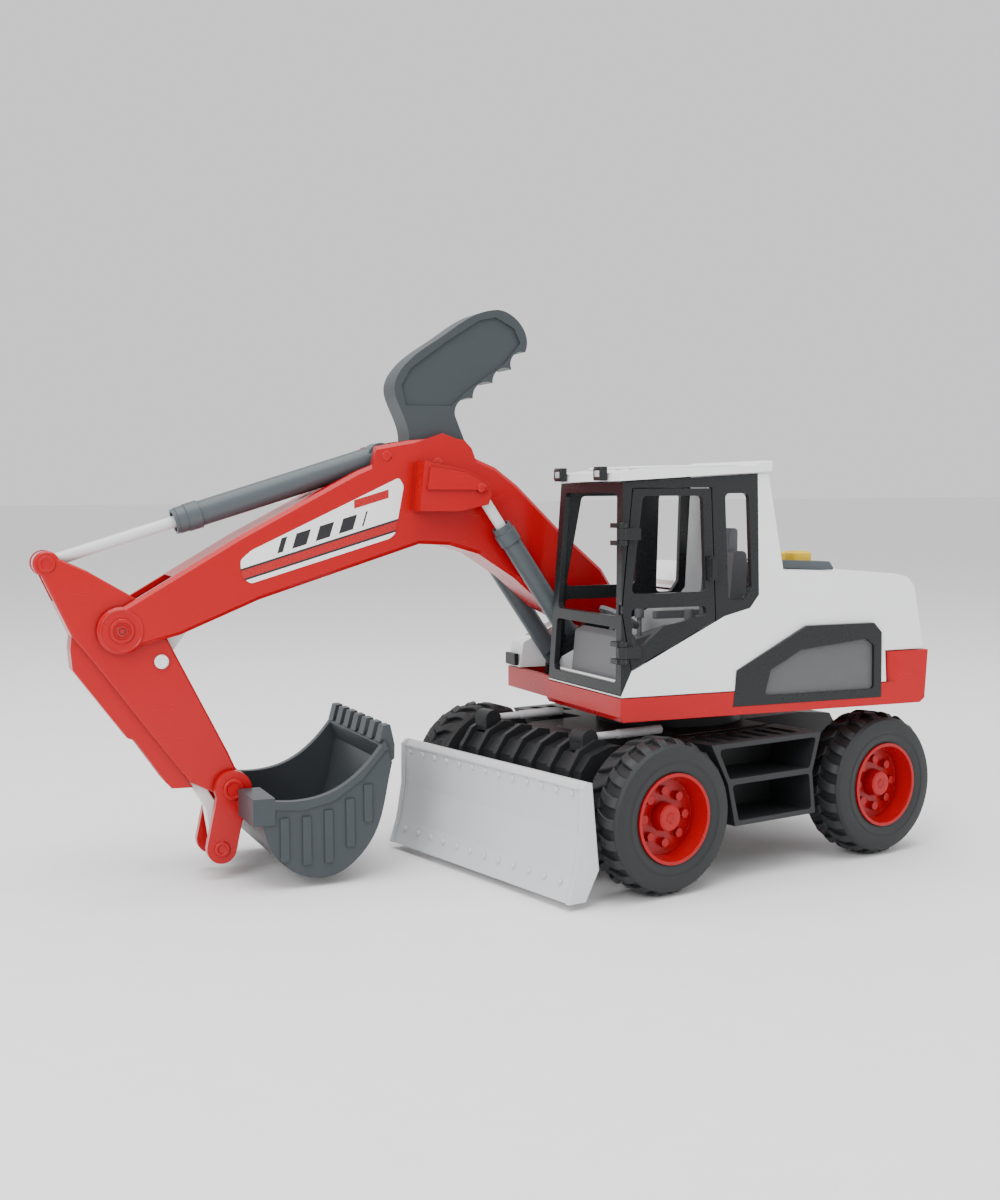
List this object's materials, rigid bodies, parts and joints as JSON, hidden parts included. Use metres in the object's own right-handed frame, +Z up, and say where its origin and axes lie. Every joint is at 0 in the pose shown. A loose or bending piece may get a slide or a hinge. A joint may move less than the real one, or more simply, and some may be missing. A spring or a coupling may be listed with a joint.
{
  "type": "toy wheeled excavator",
  "caption": "Toy wheeled excavator with a dozer blade: slewing cab body, jointed digging arm, bucket, carrying grip, opening cab door and rolling axles.",
  "frame": {"origin": "floor level, at the centre of the overall bounding box's footprint, in the stored pose", "axes": "+X forward along the digging arm, +Y to the machine's left (cab side), +Z up; the undercarriage is turned 12 degrees about the slew axis"},
  "size_m": [0.3915, 0.1878, 0.2484],
  "materials": {
    "red_plastic": "glossy moulded",
    "deep_red_plastic": "glossy moulded",
    "white_plastic": "satin moulded",
    "black_plastic": "satin moulded",
    "cab_grey_plastic": "satin moulded",
    "slate_plastic": "satin moulded",
    "ram_grey_plastic": "satin moulded",
    "silver_plastic": "satin moulded",
    "pale_rod_plastic": "glossy moulded",
    "tyre_plastic": "matt moulded tread",
    "yellow_plastic": "glossy moulded",
    "seat_grey_plastic": "matt moulded",
    "steel_pin": "turned"
  },
  "bodies": {
    "chassis": {"chassis_frame": "black_plastic", "turntable_ring": "black_plastic", "belly_plate": "black_plastic", "belly_screws": "steel_pin", "step_box_left": "black_plastic", "step_box_right": "black_plastic", "axle_housing_front": "black_plastic", "axle_housing_rear": "black_plastic", "blade_bracket": "black_plastic", "blade_pin": "steel_pin", "blade_rams": "silver_plastic"},
    "front_wheels": {"axle_front": "steel_pin", "tyres_front": "tyre_plastic", "rims_front": "deep_red_plastic", "hub_caps_front": "deep_red_plastic"},
    "rear_wheels": {"axle_rear": "steel_pin", "tyres_rear": "tyre_plastic", "rims_rear": "deep_red_plastic", "hub_caps_rear": "deep_red_plastic"},
    "blade": {"blade_plate": "silver_plastic", "blade_arms": "silver_plastic"},
    "house": {"lower_tray": "red_plastic", "kingpin": "black_plastic", "front_step": "black_plastic", "body_shell": "white_plastic", "grille_surrounds": "cab_grey_plastic", "grille_meshes": "black_plastic", "control_deck": "ram_grey_plastic", "sound_unit": "black_plastic", "battery_door": "black_plastic", "cab_frame": "cab_grey_plastic", "door_hinges": "cab_grey_plastic", "cab_roof": "white_plastic", "roof_lamps": "white_plastic", "seat": "seat_grey_plastic", "cab_console": "seat_grey_plastic", "boom_cradle": "black_plastic", "cradle_pins": "steel_pin"},
    "button_front": {"button_front": "yellow_plastic"},
    "button_rear": {"button_rear": "yellow_plastic"},
    "door": {"cab_door": "cab_grey_plastic", "door_knuckles": "cab_grey_plastic"},
    "boom": {"boom_shell_left": "red_plastic", "boom_shell_right": "red_plastic", "boom_pins": "steel_pin"},
    "grip": {"grip": "slate_plastic"},
    "boom_barrels": {"boom_barrels": "ram_grey_plastic"},
    "boom_rods": {"boom_rods": "pale_rod_plastic"},
    "stick": {"stick_shell_left": "red_plastic", "stick_shell_right": "red_plastic", "stick_pin": "steel_pin"},
    "stick_barrel": {"stick_barrel": "ram_grey_plastic"},
    "stick_rod": {"stick_rod": "pale_rod_plastic"},
    "bucket": {"bucket_shell": "slate_plastic", "bucket_teeth": "slate_plastic", "bucket_bracket": "red_plastic", "bucket_pins": "steel_pin"},
    "bucket_link": {"bucket_link": "white_plastic"},
    "bucket_lever": {"bucket_lever": "white_plastic"}
  },
  "joints": [
    {"name": "front_axle_roll", "type": "hinge", "parent": "chassis", "child": "front_wheels", "pos_m": [-0.02586, 0.01303, 0.0325], "axis": [-0.2079, 0.9781, 0], "continuous": true},
    {"name": "rear_axle_roll", "type": "hinge", "parent": "chassis", "child": "rear_wheels", "pos_m": [-0.14842, -0.01303, 0.0325], "axis": [-0.2079, 0.9781, 0], "continuous": true},
    {"name": "blade_lift", "type": "hinge", "parent": "chassis", "child": "blade", "pos_m": [-0.01133, 0.01611, 0.023], "axis": [0.2079, -0.9781, 0], "range_deg": [-3, 11]},
    {"name": "slew", "type": "hinge", "parent": "chassis", "child": "house", "pos_m": [-0.08714, 0, 0.064], "axis": [0, 0, 1], "continuous": true},
    {"name": "button_front_press", "type": "slide", "parent": "house", "child": "button_front", "axis": [0, 0, -1], "range_m": [0, 0.0018], "stiffness_N_per_m": 220},
    {"name": "button_rear_press", "type": "slide", "parent": "house", "child": "button_rear", "axis": [0, 0, -1], "range_m": [0, 0.0018], "stiffness_N_per_m": 220},
    {"name": "door_swing", "type": "hinge", "parent": "house", "child": "door", "pos_m": [-0.02854, 0.0676, 0.13], "axis": [0, 0, -1], "range_deg": [0, 70]},
    {"name": "boom_lift", "type": "hinge", "parent": "house", "child": "boom", "pos_m": [-0.07514, -0.029, 0.096], "axis": [0, -1, 0], "range_deg": [-10, 15]},
    {"name": "boom_barrels_tilt", "type": "hinge", "parent": "house", "child": "boom_barrels", "pos_m": [-0.05114, -0.029, 0.084], "axis": [0, -1, 0], "range_deg": [-10.5, 15.6]},
    {"name": "boom_rods_tilt", "type": "hinge", "parent": "boom", "child": "boom_rods", "pos_m": [0.00486, -0.029, 0.1675], "axis": [0, -1, 0], "range_deg": [-0.5, 0.6]},
    {"name": "stick_swing", "type": "hinge", "parent": "boom", "child": "stick", "pos_m": [0.16136, -0.029, 0.1091], "axis": [0, -1, 0], "range_deg": [-12, 26]},
    {"name": "stick_barrel_tilt", "type": "hinge", "parent": "boom", "child": "stick_barrel", "pos_m": [0.04486, -0.029, 0.182], "axis": [0, -1, 0], "range_deg": [-1.4, 2.8]},
    {"name": "stick_rod_tilt", "type": "hinge", "parent": "stick", "child": "stick_rod", "pos_m": [0.19036, -0.029, 0.1375], "axis": [0, -1, 0], "range_deg": [-23.8, 11.2]},
    {"name": "grip_tilt", "type": "hinge", "parent": "boom", "child": "grip", "pos_m": [0.02086, -0.029, 0.179], "axis": [0, -1, 0], "range_deg": [-6.4, 13.4]},
    {"name": "bucket_curl", "type": "hinge", "parent": "stick", "child": "bucket", "pos_m": [0.11586, -0.029, 0.039], "axis": [0, -1, 0], "range_deg": [-12, 55]},
    {"name": "bucket_link_tilt", "type": "hinge", "parent": "bucket", "child": "bucket_link", "pos_m": [0.12136, -0.029, 0.0136], "axis": [0, -1, 0], "range_deg": [-33.5, 9.5]},
    {"name": "bucket_lever_tilt", "type": "hinge", "parent": "stick", "child": "bucket_lever", "pos_m": [0.14466, -0.029, 0.0952], "axis": [0, -1, 0], "range_deg": [-6.5, 36.5]}
  ],
  "couplings": [
    {"joint": "boom_barrels_tilt", "follows": "boom_lift", "ratio": 1.02},
    {"joint": "boom_rods_tilt", "follows": "boom_lift", "ratio": 0.02},
    {"joint": "stick_barrel_tilt", "follows": "stick_swing", "ratio": 0.1},
    {"joint": "stick_rod_tilt", "follows": "stick_swing", "ratio": -0.9},
    {"joint": "grip_tilt", "follows": "stick_swing", "ratio": 0.5},
    {"joint": "bucket_link_tilt", "follows": "bucket_curl", "ratio": -0.6}
  ]
}
